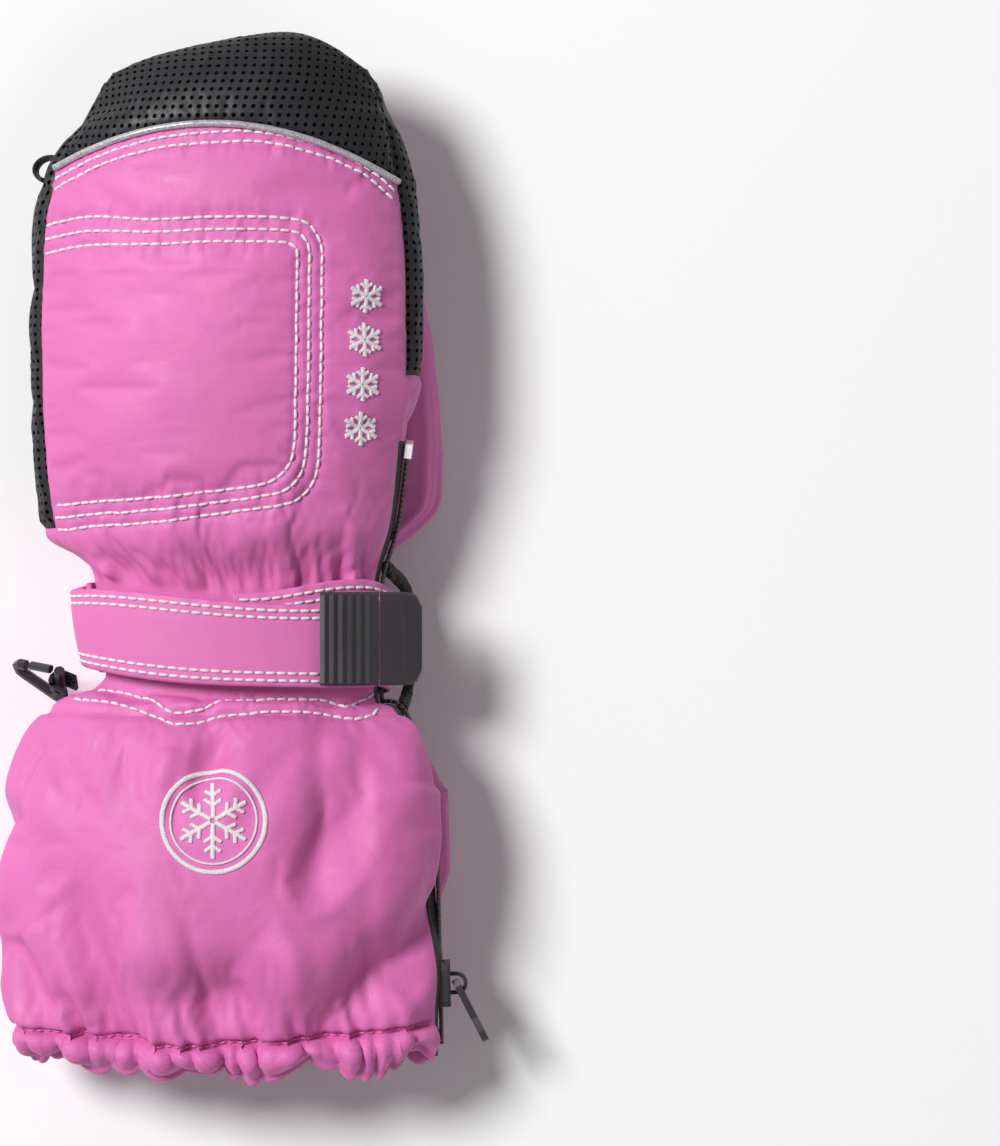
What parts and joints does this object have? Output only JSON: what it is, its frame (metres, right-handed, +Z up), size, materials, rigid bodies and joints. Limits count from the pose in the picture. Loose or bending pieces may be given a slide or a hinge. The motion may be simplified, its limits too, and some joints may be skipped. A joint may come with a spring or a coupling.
{
  "type": "ski mitten",
  "caption": "Child's padded ski mitten with a gathered cuff, side zip, wrist strap with a moulded tab, perforated grip palm and a snap hook",
  "frame": {"origin": "middle of the mitten's box, on the surface that it lies on", "axes": "+Y from the cuff to the fingertips, +X to the thumb side, +Z up through the back of the hand"},
  "size_m": [0.113, 0.239, 0.0472],
  "materials": {
    "pink_shell": "satin",
    "pink_cuff": "satin",
    "pink_strap": "satin",
    "black_grip": "matt, perforated",
    "black_plastic": "satin",
    "black_webbing": "matt",
    "reflective": "reflective",
    "white_moulding": "satin",
    "wadding": "matt",
    "lining": "matt",
    "elastic": "matt"
  },
  "bodies": {
    "mitten": {"cuff_back_panel": "pink_cuff", "cuff_palm_panel": "pink_cuff", "cuff_hem": "pink_cuff", "back_panel": "pink_shell", "wrist_palm_panel": "pink_shell", "thumb_back_panel": "pink_shell", "palm_panel": "black_grip", "side_gusset": "black_grip", "fingertip_cap": "black_grip", "thumb_palm_panel": "black_grip", "clip_tab": "black_grip", "zip_tape_back": "black_webbing", "zip_tape_palm": "black_webbing", "pull_loop": "black_webbing", "tip_loop": "black_webbing", "strap_loop_patch": "black_webbing", "hand_wadding": "wadding", "thumb_wadding": "wadding", "hand_lining": "lining", "thumb_lining": "lining", "cuff_lining": "lining", "hem_elastic": "elastic", "wrist_elastic": "elastic", "zip_chain": "black_plastic", "zip_top_stop": "white_moulding", "strap_band": "pink_strap", "strap_root": "pink_strap", "reflective_piping": "reflective"},
    "strap_flap": {"strap_end": "pink_strap", "strap_hook_patch": "black_webbing", "strap_tab_grip": "black_plastic", "strap_tab_tip": "black_plastic"},
    "slider": {"zip_slider": "black_plastic"},
    "pull": {"zip_pull": "black_plastic"},
    "clip": {"clip_frame": "black_plastic"},
    "gate": {"clip_gate": "black_plastic"}
  },
  "joints": [
    {"name": "strap_peel", "type": "hinge", "parent": "mitten", "child": "strap_flap", "pos_m": [-0.04205, -0.01534, 0.01821], "axis": [0.1718, -0.9849, -0.0217], "range_deg": [0, 92]},
    {"name": "zip_slide", "type": "slide", "parent": "mitten", "child": "slider", "axis": [-0.022, 0.9998, 0], "range_m": [0, 0.038]},
    {"name": "zip_pull_swing", "type": "hinge", "parent": "slider", "child": "pull", "pos_m": [0.04891, -0.09785, 0.02], "axis": [0, 0, 1], "range_deg": [-24, 128]},
    {"name": "clip_swivel", "type": "hinge", "parent": "mitten", "child": "clip", "pos_m": [-0.04228, -0.0296, 0.01581], "axis": [-0.0402, 0.5915, 0.8053], "range_deg": [-20, 20]},
    {"name": "clip_gate_press", "type": "hinge", "parent": "clip", "child": "gate", "pos_m": [-0.04443, -0.02574, 0.01932], "axis": [-0.4707, -0.7221, 0.5069], "range_deg": [0, 18], "stiffness_Nm_per_rad": 0.01}
  ]
}
